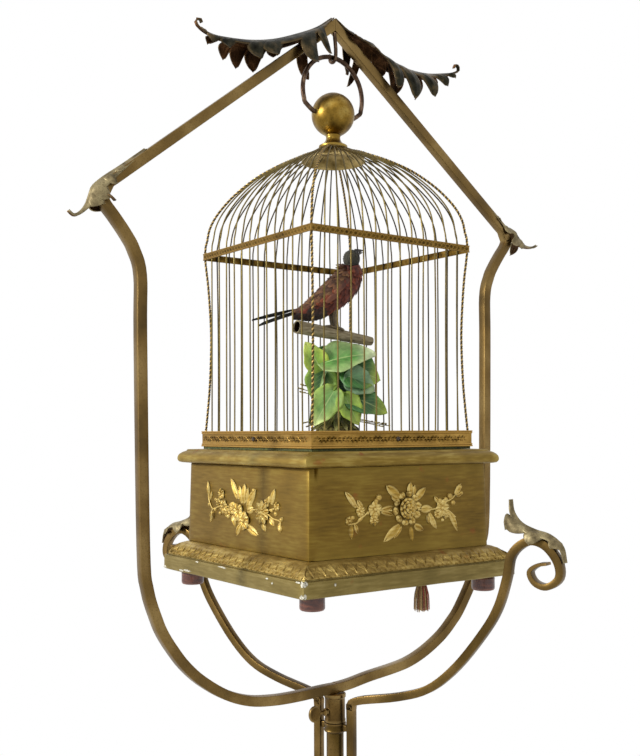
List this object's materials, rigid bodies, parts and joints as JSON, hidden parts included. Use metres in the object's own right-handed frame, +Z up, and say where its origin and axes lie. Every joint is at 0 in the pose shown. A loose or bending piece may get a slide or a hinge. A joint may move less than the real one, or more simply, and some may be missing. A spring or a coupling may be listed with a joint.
{
  "type": "singing bird automaton",
  "caption": "Brass wire cage with a clockwork singing bird on a branch, on a square gilded base, hung in a lyre-shaped frame on a floor stand.",
  "frame": {"origin": "on the floor under the stand's column", "axes": "+Z up; -Y is the cage's front; X runs along the plane of the lyre frame"},
  "size_m": [0.6251, 0.4929, 1.4491],
  "materials": {
    "aged_brass": "aged, dull",
    "cage_brass": "aged, lacquer worn",
    "dark_bronze": "dark patina",
    "gilt_wood": "gilded, worn",
    "red_brown_wood": "stained, satin",
    "bare_wood": "unfinished",
    "steel": "satin",
    "russet_feathers": "matt feathers",
    "dark_feathers": "matt feathers",
    "bark": "rough bark",
    "green_cloth": "dyed cloth leaves",
    "silk_strands": "twisted silk",
    "bellows_leather": "matt"
  },
  "bodies": {
    "stand": {"stand_column": "aged_brass", "leg_spider": "aged_brass", "scroll_arm_front": "aged_brass", "scroll_arm_back": "aged_brass", "scroll_leaf_front": "dark_bronze", "scroll_leaf_back": "dark_bronze"},
    "lyre_frame": {"lyre_bar_left": "aged_brass", "lyre_bar_right": "aged_brass", "frame_socket": "aged_brass", "hanging_hook": "aged_brass", "crest_leaf_left": "dark_bronze", "crest_leaf_right": "dark_bronze", "shoulder_leaf_left": "aged_brass", "shoulder_leaf_right": "aged_brass"},
    "screw": {"thumb_screw": "aged_brass"},
    "ring": {"hanging_ring": "cage_brass"},
    "cage": {"finial_ball": "cage_brass", "crown_plate": "cage_brass", "grille_front": "cage_brass", "grille_back": "cage_brass", "grille_left": "cage_brass", "grille_right": "cage_brass", "dome_front": "cage_brass", "dome_back": "cage_brass", "dome_left": "cage_brass", "dome_right": "cage_brass", "corner_wires": "cage_brass", "mid_band": "cage_brass", "rail": "cage_brass", "cage_floor": "bare_wood", "lid_moulding": "gilt_wood", "case_walls": "gilt_wood", "plinth": "gilt_wood", "bottom_board": "bare_wood", "foot_front_left": "red_brown_wood", "foot_front_right": "red_brown_wood", "foot_back_left": "red_brown_wood", "foot_back_right": "red_brown_wood", "garland_front": "gilt_wood", "garland_left": "gilt_wood", "garland_right": "gilt_wood", "garland_back": "gilt_wood", "perch_branch": "bark", "foliage": "green_cloth", "bird_body": "russet_feathers", "movement_frame": "cage_brass", "bellows_chamber": "bellows_leather", "bird_whistle": "cage_brass"},
    "pull": {"start_tassel": "silk_strands"},
    "head": {"bird_head": "dark_feathers"},
    "beak": {"bird_beak": "dark_feathers"},
    "tail": {"bird_tail": "dark_feathers"},
    "rod": {"push_rod": "steel"},
    "barrel": {"spring_barrel": "cage_brass"},
    "key": {"winding_key": "steel"},
    "cams": {"camshaft": "steel"},
    "air_brake": {"fly": "cage_brass"},
    "pump": {"bellows_pump": "bare_wood"},
    "piston": {"whistle_piston": "steel"}
  },
  "joints": [
    {"name": "frame_swivel", "type": "hinge", "parent": "stand", "child": "lyre_frame", "pos_m": [0, 0, 0.683], "axis": [0, 0, 1], "range_deg": [-10, 45]},
    {"name": "thumb_screw_turn", "type": "hinge", "parent": "lyre_frame", "child": "screw", "pos_m": [-0.00935, 0, 0.6956], "axis": [-1, 0, 0], "range_deg": [0, 360]},
    {"name": "ring_swing", "type": "hinge", "parent": "lyre_frame", "child": "ring", "pos_m": [0, 0, 1.40359], "axis": [0, 1, 0], "range_deg": [-3, 3]},
    {"name": "cage_tilt", "type": "hinge", "parent": "ring", "child": "cage", "pos_m": [0, 0, 1.34389], "axis": [1, 0, 0], "range_deg": [-3, 3]},
    {"name": "start_pull", "type": "slide", "parent": "cage", "child": "pull", "axis": [0, 0, -1], "range_m": [0, 0.01], "stiffness_N_per_m": 50, "springref_m": -0.01},
    {"name": "head_turn", "type": "hinge", "parent": "cage", "child": "head", "pos_m": [0.02208, -0.00382, 1.18049], "axis": [0, 0, 1], "range_deg": [-35, 35]},
    {"name": "push_rod_lift", "type": "slide", "parent": "cage", "child": "rod", "axis": [0, 0, 1], "range_m": [0, 0.003]},
    {"name": "beak_open", "type": "hinge", "parent": "head", "child": "beak", "pos_m": [0.03021, -0.00564, 1.19625], "axis": [0.2181, 0.9759, 0], "range_deg": [0, 18]},
    {"name": "tail_bob", "type": "hinge", "parent": "cage", "child": "tail", "pos_m": [-0.04067, 0.01021, 1.12849], "axis": [0.2181, 0.9759, 0], "range_deg": [-9, 0]},
    {"name": "barrel_turn", "type": "hinge", "parent": "cage", "child": "barrel", "pos_m": [-0.03, 0, 0.86219], "axis": [0, 0, 1], "continuous": true},
    {"name": "camshaft_turn", "type": "hinge", "parent": "cage", "child": "cams", "pos_m": [0.002, 0, 0.86219], "axis": [0, 0, 1], "continuous": true},
    {"name": "fly_turn", "type": "hinge", "parent": "cage", "child": "air_brake", "pos_m": [0.027, 0, 0.86219], "axis": [0, 0, 1], "continuous": true},
    {"name": "key_turn", "type": "hinge", "parent": "cage", "child": "key", "pos_m": [-0.03, 0, 0.84959], "axis": [0, 0, 1], "continuous": true},
    {"name": "pump_stroke", "type": "hinge", "parent": "cage", "child": "pump", "pos_m": [0.052, 0, 0.88189], "axis": [0, -1, 0], "range_deg": [0, 8]},
    {"name": "piston_slide", "type": "slide", "parent": "cage", "child": "piston", "axis": [1, 0, 0], "range_m": [0, 0.015]}
  ],
  "couplings": [
    {"joint": "beak_open", "follows": "push_rod_lift", "rad_per_m": 100},
    {"joint": "tail_bob", "follows": "push_rod_lift", "rad_per_m": -50},
    {"joint": "camshaft_turn", "follows": "barrel_turn", "ratio": -3},
    {"joint": "fly_turn", "follows": "barrel_turn", "ratio": 12}
  ]
}
